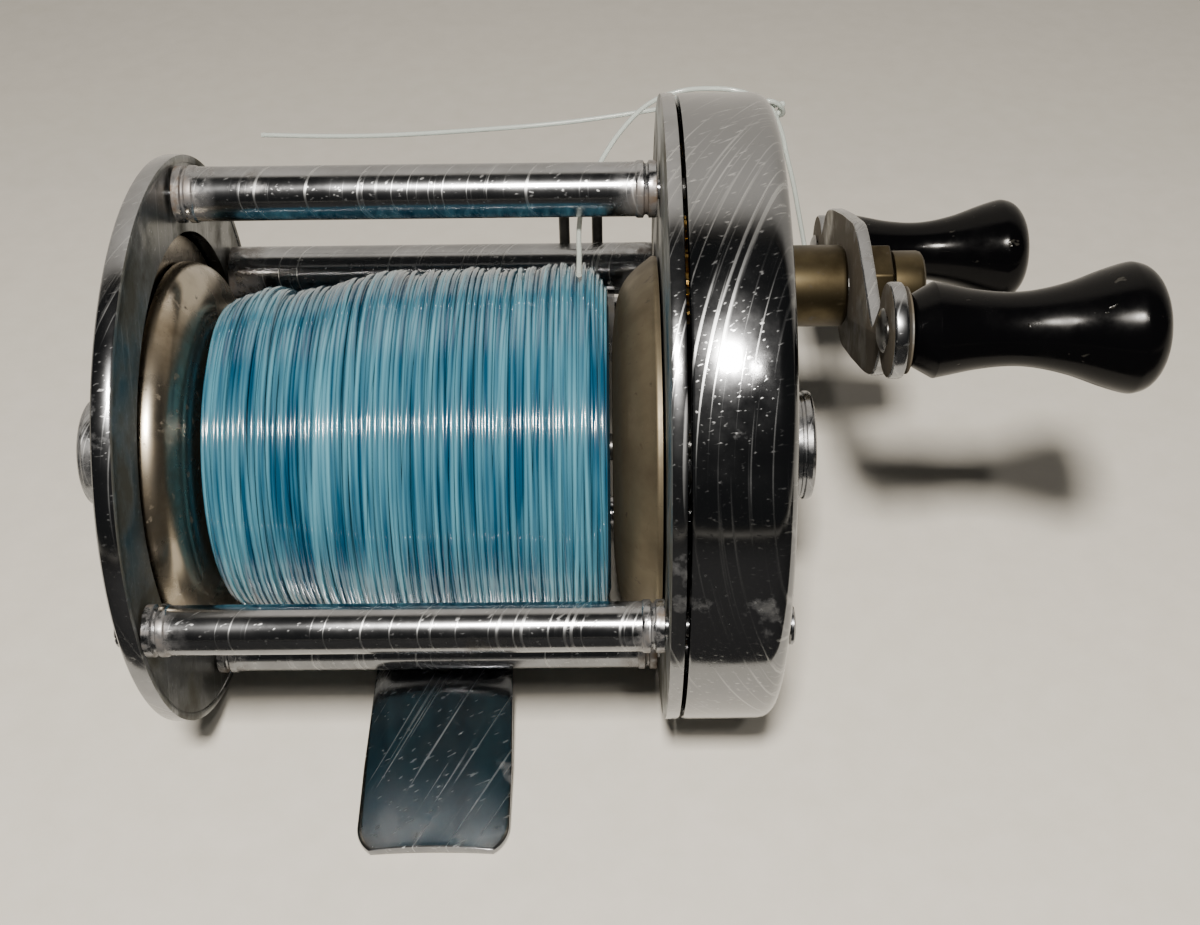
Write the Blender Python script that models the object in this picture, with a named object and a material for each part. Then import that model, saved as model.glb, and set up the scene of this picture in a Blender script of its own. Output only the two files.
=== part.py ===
"""Level-wind trolling reel, built as separate pieces that turn and slide on their real axes.

The spool axis runs along X, the angler sits on the -Y side, and Z = 0 is the table that the two
side plates and the tips of the foot stand on. The crank is on the +X side. Outlines and places
are written in millimetres, and MM turns them into metres where a mesh or an object is made.
"""
import math

import bmesh
import bpy
from mathutils import Vector

MM = 0.001

# Driving dimensions, in millimetres
SPOOL_AXIS = (0.0, 30.0)            # (y, z) of the spool spindle
TAIL_CENTRE = (1.0, 31.0)           # centre of the tail plate, which stands on the table
TAIL_RADIUS = 31.0
HEAD_CENTRE = (2.0, 33.8)           # centre of the larger head plate and gear housing
HEAD_RADIUS = 33.8
INNER_HALF = 25.5                   # half the clear width between the plates
HEAD_PLATE_OUT = 27.0               # outer side of the head plate
HOUSING_OUT = 37.0                  # outer face of the gear housing
MODULE = 0.6                        # gear module
GEAR_TEETH = 48
PINION_TEETH = 16
WORM_PINION_TEETH = 13
WORM_GEAR_TEETH = 19
CRANK_LIFT = 31.4                   # elevation of the crank axis in front of the spool, degrees
FLANGE_RADIUS = 20.9
CRANK_THROW = 25.95                 # crank axis to knob axis
CRANK_ANGLE = 155.6                 # direction of the near arm in the YZ plane, degrees
FOOT_HALF_LENGTH = 33.0
LINE_RADIUS = 0.28

PILLARS = {                         # name: (y, z), body radius, collar radius
    "top_pillar": ((10.75, 56.3), 2.85, 3.0),
    "rear_pillar": ((-27.3, 30.2), 2.45, 2.6),
    "bottom_rear_pillar": ((-10.0, 8.0), 2.2, 2.35),
    "bottom_front_pillar": ((13.5, 7.4), 2.2, 2.35),
}


def polar(centre, radius, degrees):
    """A (y, z) point at a distance and an angle from another."""
    turn = math.radians(degrees)
    return (centre[0] + radius * math.cos(turn), centre[1] + radius * math.sin(turn))


CRANK_AXIS = polar(SPOOL_AXIS, MODULE * (GEAR_TEETH + PINION_TEETH) / 2, CRANK_LIFT)
WORM_AXIS = polar(CRANK_AXIS, MODULE * (WORM_PINION_TEETH + WORM_GEAR_TEETH) / 2, -20.0)
GUIDE_ROD_AXIS = (28.6, 28.8)
NEAR_KNOB_AXIS = polar(CRANK_AXIS, CRANK_THROW, CRANK_ANGLE)
FAR_KNOB_AXIS = polar(CRANK_AXIS, CRANK_THROW, CRANK_ANGLE + 180.0)


# Making and placing meshes

def finish(name, material):
    """A Principled material of one plain finish."""
    colour, roughness, metallic = material
    made = bpy.data.materials.new(name + "_finish")
    made.use_nodes = True
    shader = made.node_tree.nodes["Principled BSDF"]
    shader.inputs["Base Color"].default_value = (*colour, 1.0)
    shader.inputs["Roughness"].default_value = roughness
    shader.inputs["Metallic"].default_value = metallic
    return made


CHROME = ((0.62, 0.63, 0.64), 0.15, 1.0)
NICKEL = ((0.55, 0.51, 0.44), 0.30, 1.0)
DULL_NICKEL = ((0.36, 0.33, 0.26), 0.42, 1.0)
BRASS = ((0.62, 0.46, 0.20), 0.35, 1.0)
BRONZE = ((0.45, 0.30, 0.16), 0.40, 1.0)
STEEL = ((0.45, 0.45, 0.46), 0.30, 1.0)
DARK_WIRE = ((0.10, 0.10, 0.11), 0.35, 1.0)
BLACK_PLASTIC = ((0.012, 0.012, 0.013), 0.12, 0.0)
BLUE_LINE = ((0.20, 0.47, 0.60), 0.25, 0.0)
PALE_LINE = ((0.66, 0.72, 0.72), 0.22, 0.0)


def add_object(name, mesh, place, material):
    """Link a mesh as an object at a place in millimetres, smooth where its faces nearly meet."""
    obj = bpy.data.objects.new(name, mesh)
    obj.location = Vector(place) * MM
    mesh.materials.append(finish(name, material))
    mesh.shade_smooth()
    mesh.set_sharp_from_angle(angle=math.radians(32))
    bpy.context.collection.objects.link(obj)
    return obj


def mesh_from(bm, name):
    """Close a bmesh into a mesh whose faces point outwards."""
    bmesh.ops.recalc_face_normals(bm, faces=bm.faces)
    mesh = bpy.data.meshes.new(name)
    bm.to_mesh(mesh)
    bm.free()
    return mesh


def turned(name, outline, axis, material, steps=32):
    """A solid turned about X from (x, r) points; the outline closes on itself or on the axis."""
    bm = bmesh.new()
    verts = [bm.verts.new((x * MM, 0.0, r * MM)) for x, r in outline]
    edges = [bm.edges.new(pair) for pair in zip(verts, verts[1:])]
    if outline[0][1] > 0.0:
        edges.append(bm.edges.new((verts[-1], verts[0])))
    bmesh.ops.spin(bm, geom=verts + edges, cent=(0, 0, 0), axis=(1, 0, 0), angle=math.tau,
                   steps=steps, use_duplicate=False, use_merge=True)
    bmesh.ops.remove_doubles(bm, verts=bm.verts, dist=0.001 * MM)
    return add_object(name, mesh_from(bm, name), (0.0, *axis), material)


def circle(radius, centre=(0.0, 0.0), count=32, start=0.0, sweep=360.0):
    """Points (y, z) on a circle, or on an arc that includes both of its ends."""
    steps = count if sweep == 360.0 else count - 1
    return [polar(centre, radius, start + sweep * i / steps) for i in range(count)]


def plate(name, loops, x_low, x_high, axis, material):
    """A flat plate between two X planes: its outer loop, then its holes, as (y, z) points."""
    bm = bmesh.new()
    edges = []
    for loop in loops:
        verts = [bm.verts.new((x_low * MM, y * MM, z * MM)) for y, z in loop]
        edges += [bm.edges.new((verts[i - 1], verts[i])) for i in range(len(verts))]
    filled = bmesh.ops.triangle_fill(bm, use_beauty=True, edges=edges)
    faces = [item for item in filled["geom"] if isinstance(item, bmesh.types.BMFace)]
    pulled = bmesh.ops.extrude_face_region(bm, geom=faces, use_keep_orig=True)
    moved = [item for item in pulled["geom"] if isinstance(item, bmesh.types.BMVert)]
    bmesh.ops.translate(bm, verts=moved, vec=((x_high - x_low) * MM, 0.0, 0.0))
    return add_object(name, mesh_from(bm, name), (0.0, *axis), material)


def drill(obj, centre, radius, span, along="X", sides=24):
    """Cut a round hole through an object; centre and span are world millimetres."""
    bm = bmesh.new()
    bmesh.ops.create_cone(bm, cap_ends=True, segments=sides, radius1=radius * MM,
                          radius2=radius * MM, depth=(span[1] - span[0]) * MM)
    cutter = bpy.data.objects.new(obj.name + "_drill", mesh_from(bm, obj.name + "_drill"))
    middle = (span[0] + span[1]) / 2
    if along == "X":
        cutter.location = Vector((middle, *centre)) * MM
        cutter.rotation_euler = (0.0, math.pi / 2, 0.0)
    else:
        cutter.location = Vector((centre[0], centre[1], middle)) * MM
    cutter.hide_render = True
    cutter.display_type = "WIRE"
    bpy.context.collection.objects.link(cutter)
    cut = obj.modifiers.new("drilled", "BOOLEAN")
    cut.operation = "DIFFERENCE"
    cut.solver = "EXACT"
    cut.object = cutter


def axle_empty(name, x, axis):
    """An empty on a joint's axis that the pieces turning there are parented to."""
    empty = bpy.data.objects.new(name, None)
    empty.location = Vector((x, *axis)) * MM
    bpy.context.collection.objects.link(empty)
    return empty


def hang(parent, *pieces):
    """Parent pieces to an empty and leave them where they are."""
    for piece in pieces:
        piece.parent = parent
        piece.matrix_parent_inverse.translation = -parent.location


# Gears

def tooth_flank(base, radius):
    """Involute polar angle at a radius, zero at the base circle."""
    if radius <= base:
        return 0.0
    roll = math.sqrt((radius / base) ** 2 - 1.0)
    return roll - math.atan(roll)


def gear_outline(teeth, phase, backlash=0.10):
    """Outer loop of a 20 degree spur gear; phase is the angle of one tooth's middle, degrees."""
    pitch = MODULE * teeth / 2
    base = pitch * math.cos(math.radians(20))
    tip = pitch + 0.75 * MODULE
    root = pitch - 1.05 * MODULE
    half = math.pi / (2 * teeth) - backlash / (2 * pitch)
    lift = tooth_flank(base, pitch)
    rows = []
    for part in range(3):
        radius = max(root, base) + (tip - max(root, base)) * part / 2
        rows.append((radius, half + lift - tooth_flank(base, radius)))
    loop = []
    for tooth in range(teeth):
        middle = math.radians(phase) + math.tau * tooth / teeth
        foot_half = rows[0][1]
        left = [(root, middle - foot_half - 0.004)] + [(r, middle - a) for r, a in rows]
        right = [(r, middle + a) for r, a in reversed(rows)] + [(root, middle + foot_half + 0.004)]
        loop += [(r * math.cos(a), r * math.sin(a)) for r, a in left + right]
    return loop


def mesh_phase(teeth, other_teeth, direction, other_phase):
    """Phase of a gear so that its gap faces the tooth of the gear that it meets.

    direction is the angle from the other gear's axis to this one's, in degrees.
    """
    other_pitch = 360.0 / other_teeth
    offset = ((direction - other_phase) / other_pitch) % 1.0
    pitch = 360.0 / teeth
    return direction + 180.0 + offset * pitch + pitch / 2


# Frame

def make_tail_side():
    """Tail plate with its domed back, inner disc, bearing hub, bush and bearing cap."""
    outline = [(-31.0, 0.0), (-31.0, 18.8), (-30.3, 20.6), (-28.5, 23.4), (-27.4, 23.9),
               (-27.4, 30.5), (-27.0, 31.0), (-25.5, 31.0), (-25.35, 30.8), (-25.35, 30.3),
               (-25.5, 30.1), (-25.5, 22.8), (-27.7, 22.8), (-29.3, 20.2), (-30.0, 18.5),
               (-30.0, 0.0)]
    tail = turned("tail_plate", outline, TAIL_CENTRE, CHROME, steps=44)
    drill(tail, SPOOL_AXIS, 6.2, (-32.0, -29.0))
    for place, _, _ in PILLARS.values():
        drill(tail, place, 1.35, (-28.2, -24.5), sides=12)
    drill(tail, (-12.2, 30.0), 2.4, (-32.0, -29.2), sides=20)
    disc_loops = [circle(22.5, TAIL_CENTRE, 48), circle(3.2, SPOOL_AXIS, 20)]
    plate("tail_inner_disc", disc_loops, -27.6, -26.9, (0.0, 0.0), DULL_NICKEL)
    turned("tail_hub", [(-35.8, 2.6), (-35.8, 4.0), (-33.7, 4.0), (-33.7, 6.6), (-33.2, 7.3),
                        (-31.3, 7.6), (-31.3, 5.9), (-29.95, 5.9), (-29.95, 2.6)],
           SPOOL_AXIS, NICKEL, steps=20)
    turned("tail_bearing_bush", [(-35.6, 1.6), (-35.6, 2.45), (-30.2, 2.45), (-30.2, 1.6)],
           SPOOL_AXIS, BRONZE, steps=14)
    turned("tail_cap", [(-36.6, 0.0), (-36.6, 4.3), (-34.0, 4.3), (-34.0, 6.1), (-34.3, 6.35),
                        (-37.1, 6.35), (-37.5, 5.9), (-37.5, 0.0)], SPOOL_AXIS, CHROME, steps=24)


def make_head_side():
    """Head plate, gear housing, bearing hub, bush, bearing cap and the crank's fixed bush."""
    holes = [circle(6.0, SPOOL_AXIS, 24), circle(1.7, CRANK_AXIS, 16), circle(1.9, WORM_AXIS, 16)]
    holes += [circle(1.35, place, 12) for place, _, _ in PILLARS.values()]
    plate("head_plate", [circle(HEAD_RADIUS, HEAD_CENTRE, 48)] + holes, INNER_HALF,
          HEAD_PLATE_OUT, (0.0, 0.0), CHROME)
    rim = HEAD_RADIUS
    outline = [(HOUSING_OUT, 0.0), (HOUSING_OUT, rim - 1.9), (HOUSING_OUT - 0.35, rim - 0.9),
               (HOUSING_OUT - 1.0, rim - 0.25), (HOUSING_OUT - 1.9, rim), (27.7, rim),
               (27.3, rim - 0.35), (27.3, rim - 1.1), (35.3, rim - 1.1), (35.8, rim - 1.6),
               (36.0, rim - 2.2), (36.0, 0.0)]
    housing = turned("gear_housing", outline, HEAD_CENTRE, CHROME, steps=48)
    drill(housing, SPOOL_AXIS, 5.2, (35.0, 38.0))
    drill(housing, CRANK_AXIS, 4.75, (35.0, 38.0))
    for place, _, _ in PILLARS.values():
        drill(housing, place, 1.35, (35.0, 38.0), sides=12)
    turned("head_hub", [(34.3, 2.6), (34.3, 7.5), (35.7, 7.5), (35.7, 4.9), (37.3, 4.9),
                        (37.5, 4.0), (40.4, 4.0), (40.4, 2.6)], SPOOL_AXIS, NICKEL, steps=20)
    turned("head_bearing_bush", [(34.4, 1.6), (34.4, 2.45), (40.2, 2.45), (40.2, 1.6)],
           SPOOL_AXIS, BRONZE, steps=14)
    turned("head_cap", [(41.1, 0.0), (41.1, 4.3), (37.6, 4.3), (37.6, 6.0), (37.9, 6.25),
                        (41.8, 6.25), (42.2, 5.8), (42.2, 0.0)], SPOOL_AXIS, CHROME, steps=24)
    turned("crank_bush", [(34.4, 2.6), (34.4, 6.4), (35.7, 6.4), (35.7, 4.45), (46.6, 4.45),
                          (46.9, 4.2), (46.9, 2.6)], CRANK_AXIS, DULL_NICKEL, steps=24)


def make_pillars():
    """Four turned pillars with grooved collars and a tapped hole in each end."""
    end = INNER_HALF - 0.3
    for name, (place, body, collar) in PILLARS.items():
        half = [(20.4, 0.0), (20.4, 1.5), (end, 1.5), (end, collar), (end - 0.9, collar),
                (end - 1.2, collar - 0.35), (end - 1.5, collar), (end - 2.1, collar),
                (end - 2.3, body)]
        outline = [(-x, r) for x, r in half] + list(reversed(half))
        pillar = turned(name, outline, place, CHROME, steps=14)
        if name.startswith("bottom"):
            drill(pillar, (0.4, place[0]), 1.0, (0.0, place[1] + 0.6), along="Z", sides=12)


def make_pillar_screws():
    """Slotted screws that hold the plates to the pillars, one at each end of each pillar."""
    tail_side = [(-28.15, 0.0), (-28.1, 1.4), (-27.95, 1.6), (-27.7, 1.6), (-27.7, 1.1),
                 (-21.0, 1.1), (-21.0, 0.0)]
    for name, (place, _, _) in PILLARS.items():
        face = 38.5 if name == "top_pillar" else 37.75
        head_side = [(21.0, 0.0), (21.0, 1.1), (37.3, 1.1), (37.3, 1.95), (face - 0.2, 1.95),
                     (face - 0.05, 1.7), (face, 0.0)]
        turned(name + "_head_screw", head_side, place, CHROME, steps=10)
        turned(name + "_tail_screw", tail_side, place, CHROME, steps=10)


def foot_height(y):
    """Underside height of the foot's edges: a saddle in the middle and wings that come down."""
    reach = min(1.0, max(0.0, (abs(y) - 9.0) / (FOOT_HALF_LENGTH - 10.0)))
    return 3.6 * (1.0 - reach) ** 1.35


def foot_half_width(y):
    """Half the foot's width, with rounded corners at the two tips."""
    corner = 3.6
    inset = max(0.0, abs(y) - (FOOT_HALF_LENGTH - corner))
    waist = 7.5 + 0.7 * min(1.0, abs(y) / 22.0)
    return waist - corner + math.sqrt(max(0.0, corner ** 2 - inset ** 2))


def make_foot():
    """Stamped foot, arched across its width, and the two screws that fix it to the pillars."""
    thickness = 1.1
    inset = (0.0, 0.25, 0.8, 1.8, 3.4, 6.0, 10.0, 14.5, 19.0, 24.0, 29.0)
    rows = [step - FOOT_HALF_LENGTH for step in inset]
    rows += [-y for y in reversed(rows)]
    bm = bmesh.new()
    grids = []
    for lift in (0.0, thickness):
        grid = []
        for y in rows:
            wide = foot_half_width(y)
            line = []
            for step in range(9):
                t = step / 4 - 1.0
                height = foot_height(y) + 0.8 * (1.0 - t * t) + lift
                line.append(bm.verts.new(((0.4 + wide * t) * MM, y * MM, height * MM)))
            grid.append(line)
        grids.append(grid)
    last = len(rows) - 1
    for grid in grids:
        for i in range(last):
            for j in range(8):
                bm.faces.new((grid[i][j], grid[i][j + 1], grid[i + 1][j + 1], grid[i + 1][j]))
    low, high = grids
    for i in range(last):
        for j in (0, 8):
            bm.faces.new((low[i][j], low[i + 1][j], high[i + 1][j], high[i][j]))
    for j in range(8):
        for i in (0, last):
            bm.faces.new((low[i][j], low[i][j + 1], high[i][j + 1], high[i][j]))
    foot = add_object("foot", mesh_from(bm, "foot"), (0.0, 0.0, 0.0), CHROME)
    places = [PILLARS["bottom_rear_pillar"][0], PILLARS["bottom_front_pillar"][0]]
    for y, _ in places:
        drill(foot, (0.4, y), 1.1, (0.0, 8.0), along="Z", sides=12)
    for name, (y, z) in zip(("foot_screw_rear", "foot_screw_front"), places):
        under = foot_height(y) + 0.8
        outline = [(under - 1.3, 0.0), (under - 1.3, 1.2), (under - 1.1, 1.6), (under - 0.4, 1.6),
                   (under - 0.4, 0.8), (z, 0.8), (z, 0.0)]
        screw = turned(name, outline, (0.0, 0.0), STEEL, steps=16)
        screw.location = Vector((0.4, y, 0.0)) * MM
        screw.rotation_euler = (0.0, -math.pi / 2, 0.0)


# Spool

def make_spool():
    """Spindle, arbor, two flared flanges, the wound line, the pinion and the click gear."""
    parent = axle_empty("spool_axle", 0.0, SPOOL_AXIS)
    spindle = turned("spool_spindle", [(-36.3, 0.0), (-36.3, 1.2), (-36.0, 1.5), (40.5, 1.5),
                                       (40.8, 1.2), (40.8, 0.0)], SPOOL_AXIS, STEEL, steps=14)
    arbor = turned("spool_arbor", [(-21.5, 5.6), (-21.5, 7.0), (19.9, 7.0), (19.9, 5.6)],
                   SPOOL_AXIS, NICKEL, steps=20)
    rim = FLANGE_RADIUS
    tail_flare = [(-25.8, rim), (-25.3, rim - 0.3), (-24.3, rim - 1.2), (-23.3, rim - 2.7),
                  (-22.5, rim - 4.9), (-21.9, rim - 13.0), (-21.9, 1.75), (-22.8, 1.75),
                  (-22.8, rim - 13.0), (-23.3, rim - 4.7), (-24.0, rim - 2.4),
                  (-24.9, rim - 0.9), (-26.4, rim - 0.2), (-26.4, rim)]
    head_flare = [(24.7, rim), (24.3, rim - 0.3), (23.0, rim - 1.3), (21.7, rim - 2.8),
                  (20.9, rim - 4.9), (20.3, rim - 13.0), (20.3, 1.75), (21.0, 1.75),
                  (21.0, rim - 13.0), (21.5, rim - 4.7), (22.3, rim - 2.4),
                  (23.5, rim - 0.9), (25.2, rim - 0.2), (25.2, rim)]
    left = turned("flange_left", tail_flare, SPOOL_AXIS, NICKEL, steps=32)
    right = turned("flange_right", head_flare, SPOOL_AXIS, NICKEL, steps=32)
    crest = [(-21.6, 15.4), (-20.6, 17.0), (-16.5, 18.2), (-13.5, 17.7), (-9.0, 18.6),
             (-4.5, 19.8), (0.0, 19.7), (5.0, 20.0), (10.0, 19.8), (14.5, 20.4), (17.5, 20.3),
             (19.3, 19.0), (20.0, 16.5)]
    pack = turned("line_pack", [(-21.6, 7.3)] + crest + [(20.0, 7.3)], SPOOL_AXIS, BLUE_LINE,
                  steps=32)
    direction = CRANK_LIFT + 180.0
    phase = mesh_phase(PINION_TEETH, GEAR_TEETH, direction, 0.0)
    pinion = plate("spool_pinion", [gear_outline(PINION_TEETH, phase), circle(1.75, count=14)],
                   29.8, 32.4, SPOOL_AXIS, BRASS)
    star = []
    for tooth in range(20):
        star += [polar((0.0, 0.0), 7.0, 18 * tooth + 6.5), polar((0.0, 0.0), 7.0, 18 * tooth + 11.5),
                 polar((0.0, 0.0), 5.7, 18 * tooth + 16.0), polar((0.0, 0.0), 5.7, 18 * tooth + 20.0)]
    click_gear = plate("click_gear", [star, circle(1.75, count=14)], -29.4, -28.2, SPOOL_AXIS,
                       BRASS)
    hang(parent, spindle, arbor, left, right, pack, pinion, click_gear)


def make_click():
    """Click pawl on the sliding button's stem, and the leaf spring beside it."""
    parent = axle_empty("click_slide", -30.0, (-12.2, 30.0))
    tip = [(-9.2, 29.55), (-9.2, 30.45), (-11.2, 31.3), (-14.2, 31.3), (-14.2, 28.7), (-11.2, 28.7)]
    pawl = plate("click_pawl", [tip, circle(0.9, (-12.7, 30.0), 12)], -29.3, -28.3, (0.0, 0.0),
                 STEEL)
    button = turned("click_button", [(-33.4, 0.0), (-33.4, 1.9), (-33.1, 2.3), (-31.6, 2.3),
                                     (-31.3, 2.0), (-31.3, 0.7), (-28.5, 0.7), (-28.5, 0.0)],
                    (-12.7, 30.0), CHROME, steps=24)
    strip = [(-16.9, 26.4), (-14.8, 28.0), (-14.8, 32.0), (-16.9, 33.6), (-17.1, 33.35),
             (-15.15, 31.8), (-15.15, 28.2), (-17.1, 26.65)]
    plate("click_spring", [strip], -29.2, -28.4, (0.0, 0.0), STEEL)
    hang(parent, pawl, button)


# Gear train and crank

def crank_outline():
    """S-shaped crank: a wide hub and two arms that leave it on opposite sides of its centre."""
    arm = [(-0.6, 7.6), (3.2, 7.5), (6.3, 6.2), (9.8, 3.9), (13.2, 1.4), (16.8, -1.1),
           (19.6, -1.6)]
    eye = [polar((CRANK_THROW, 0.0), 4.75, 160.0 - 310.0 * i / 12) for i in range(13)]
    back = [(18.4, -6.2), (13.8, -7.1), (9.0, -7.4), (4.6, -7.6)]
    half = arm + eye + back
    return half + [(-x, -y) for x, y in half]


def make_crank():
    """Crank shaft with its gears, the crank, nut, cap and knob pins, which turn together."""
    parent = axle_empty("crank_axle", 48.0, CRANK_AXIS)
    shaft = turned("crank_shaft", [(25.8, 0.0), (25.8, 1.5), (27.4, 1.5), (27.4, 2.3),
                                   (47.0, 2.3), (47.1, 1.8), (52.2, 1.8), (52.2, 1.0),
                                   (54.6, 1.0), (54.6, 0.0)], CRANK_AXIS, STEEL, steps=24)
    web = [circle(2.6, polar((0.0, 0.0), 8.6, 60 * i + 30), 10) for i in range(6)]
    gear = plate("drive_gear", [gear_outline(GEAR_TEETH, 0.0), circle(2.5, count=14)] + web,
                 30.2, 32.0, CRANK_AXIS, BRASS)
    worm_pinion = plate("worm_pinion", [gear_outline(WORM_PINION_TEETH, 0.0),
                                        circle(2.5, count=14)], 27.7, 29.4, CRANK_AXIS, BRASS)
    turn = math.radians(CRANK_ANGLE)
    outline = [(a * math.cos(turn) + b * math.sin(turn), a * math.sin(turn) - b * math.cos(turn))
               for a, b in crank_outline()]
    pins = [circle(1.5, polar((0.0, 0.0), CRANK_THROW, CRANK_ANGLE + lift), 16)
            for lift in (0.0, 180.0)]
    arm = plate("crank_arm", [outline, circle(2.1, count=14)] + pins, 47.3, 48.8, CRANK_AXIS,
                CHROME)
    hexagon = [polar((0.0, 0.0), 4.7, 60 * i + 12) for i in range(6)]
    nut = plate("crank_nut", [hexagon, circle(2.1, count=14)], 49.1, 52.0, CRANK_AXIS,
                DULL_NICKEL)
    cap = turned("crank_cap", [(54.9, 0.0), (54.9, 1.3), (52.3, 1.3), (52.3, 3.9), (55.3, 3.9),
                               (55.8, 3.4), (55.8, 0.0)], CRANK_AXIS, DULL_NICKEL, steps=20)
    pieces = [shaft, gear, worm_pinion, arm, nut, cap]
    for name, axis in (("near", NEAR_KNOB_AXIS), ("far", FAR_KNOB_AXIS)):
        pieces.append(turned(name + "_knob_pin", [(46.5, 0.0), (46.6, 1.6), (47.0, 2.2),
                                                  (47.05, 1.2), (70.0, 1.2), (70.0, 0.0)],
                             axis, STEEL, steps=14))
        pieces.append(turned(name + "_knob_washer", [(49.05, 1.5), (49.05, 4.3), (49.3, 4.3),
                                                     (49.3, 1.5)], axis, STEEL, steps=20))
    hang(parent, *pieces)


def make_knobs():
    """Two turned knobs, each free to spin on its own pin."""
    start = 49.6                    # inner end of both knobs
    shape = [(0.0, 3.3), (0.35, 3.65), (2.2, 4.75), (3.4, 4.5), (6.4, 3.95), (9.6, 3.65),
             (12.4, 3.85), (15.6, 4.6), (18.6, 5.7), (20.8, 6.4), (21.9, 6.45), (23.0, 6.0),
             (24.0, 4.9), (24.6, 3.2), (24.8, 0.0)]
    for name, axis in (("near_knob", NEAR_KNOB_AXIS), ("far_knob", FAR_KNOB_AXIS)):
        outline = [(70.5, 0.0), (70.5, 1.5), (start, 1.5)]
        outline += [(start + x, r) for x, r in shape]
        turned(name, outline, axis, BLACK_PLASTIC, steps=20)


# Level wind

def make_level_wind():
    """Slotted worm tube, guide rod, worm with its gear and bushes, and the sliding carriage."""
    end = INNER_HALF - 0.3
    slot = circle(3.1, count=25, start=-70.0, sweep=320.0)
    slot += circle(2.5, count=21, start=250.0, sweep=-320.0)
    plate("worm_tube", [slot], -end, end, WORM_AXIS, CHROME)
    turned("guide_rod", [(-end, 0.0), (-end, 1.3), (end, 1.3), (end, 0.0)], GUIDE_ROD_AXIS,
           CHROME, steps=18)
    turned("worm_bush_tail", [(-24.8, 1.25), (-24.8, 2.3), (-22.9, 2.3), (-22.9, 1.25)],
           WORM_AXIS, BRONZE, steps=14)
    turned("worm_bush_head", [(22.9, 1.25), (22.9, 2.3), (24.8, 2.3), (24.8, 1.25)],
           WORM_AXIS, BRONZE, steps=14)
    parent = axle_empty("worm_axle", 0.0, WORM_AXIS)
    worm = turned("worm_shaft", [(-24.6, 0.0), (-24.6, 1.15), (-22.6, 1.15), (-22.6, 1.75),
                                 (22.6, 1.75), (22.6, 1.15), (29.5, 1.15), (29.5, 0.0)],
                  WORM_AXIS, STEEL, steps=14)
    phase = mesh_phase(WORM_GEAR_TEETH, WORM_PINION_TEETH, -20.0, 0.0)
    gear = plate("worm_gear", [gear_outline(WORM_GEAR_TEETH, phase), circle(1.4, count=16)],
                 27.7, 29.4, WORM_AXIS, BRASS)
    hang(parent, worm, gear)


def make_carriage():
    """Carriage on the guide rod, its pawl and pawl cap, and the wire loop that lays the line."""
    middle = 16.7
    y, z = WORM_AXIS
    parent = axle_empty("carriage_slide", middle, GUIDE_ROD_AXIS)
    saddle = circle(3.45, WORM_AXIS, 13, 208.0, 124.0)
    outline = [(21.7, 25.6), (21.7, saddle[0][1])] + saddle
    outline += [(31.2, saddle[-1][1]), (31.2, 25.6)]
    block = plate("carriage", [outline, circle(1.6, GUIDE_ROD_AXIS, 16)], middle - 4.0,
                  middle + 4.0, (0.0, 0.0), CHROME)
    drill(block, (middle, y), 1.2, (24.0, 35.0), along="Z", sides=16)
    bm = bmesh.new()
    bmesh.ops.create_cone(bm, cap_ends=True, segments=14, radius1=0.9 * MM, radius2=0.9 * MM,
                          depth=6.6 * MM)
    pawl = add_object("level_wind_pawl", mesh_from(bm, "level_wind_pawl"), (middle, y, 31.3),
                      BRASS)
    bm = bmesh.new()
    bmesh.ops.create_cone(bm, cap_ends=True, segments=16, radius1=1.6 * MM, radius2=1.9 * MM,
                          depth=1.0 * MM)
    cap = add_object("pawl_cap", mesh_from(bm, "pawl_cap"), (middle, y, 24.8), CHROME)
    legs = 2.0
    top = 45.0
    wire_y = 30.2
    floor = saddle[-1][1] + 0.3
    arch = [(legs * math.cos(math.radians(a)), top + legs * math.sin(math.radians(a)))
            for a in range(0, 181, 30)]
    points = [(middle + legs, wire_y, floor), (middle + legs, wire_y, 40.0)]
    points += [(middle + dx, wire_y, dz) for dx, dz in arch]
    points += [(middle - legs, wire_y, 40.0), (middle - legs, wire_y, floor)]
    guide = tube("line_guide", points, 0.65, DARK_WIRE)
    hang(parent, block, pawl, cap, guide)


# Loose line

def smooth_route(points, spacing):
    """Points at an even spacing along a smooth curve through hand-chosen ones."""
    knots = [Vector(p) for p in points]
    knots = [2 * knots[0] - knots[1]] + knots + [2 * knots[-1] - knots[-2]]
    dense = []
    for a, b, c, d in zip(knots, knots[1:], knots[2:], knots[3:]):
        for i in range(24):
            t = i / 24
            dense.append(0.5 * (2 * b + (c - a) * t + (2 * a - 5 * b + 4 * c - d) * t * t
                                + (3 * b - a - 3 * c + d) * t ** 3))
    dense.append(knots[-2])
    lengths = [0.0]
    for a, b in zip(dense, dense[1:]):
        lengths.append(lengths[-1] + (b - a).length)
    count = max(2, round(lengths[-1] / spacing))
    route = []
    at = 0
    for i in range(count + 1):
        goal = lengths[-1] * i / count
        while at < len(dense) - 2 and lengths[at + 1] < goal:
            at += 1
        step = (goal - lengths[at]) / (lengths[at + 1] - lengths[at])
        route.append(dense[at].lerp(dense[at + 1], min(1.0, step)))
    return route


def tube(name, points, radius, material, sides=2):
    """A round wire or cord through points, as a bevelled curve with filled caps."""
    curve = bpy.data.curves.new(name, "CURVE")
    curve.dimensions = "3D"
    curve.bevel_depth = radius * MM
    curve.bevel_resolution = sides
    curve.use_fill_caps = True
    spline = curve.splines.new("POLY")
    spline.points.add(len(points) - 1)
    for point, place in zip(spline.points, points):
        point.co = (*(Vector(place) * MM), 1.0)
    obj = bpy.data.objects.new(name, curve)
    curve.materials.append(finish(name, material))
    bpy.context.collection.objects.link(obj)
    return obj


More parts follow.
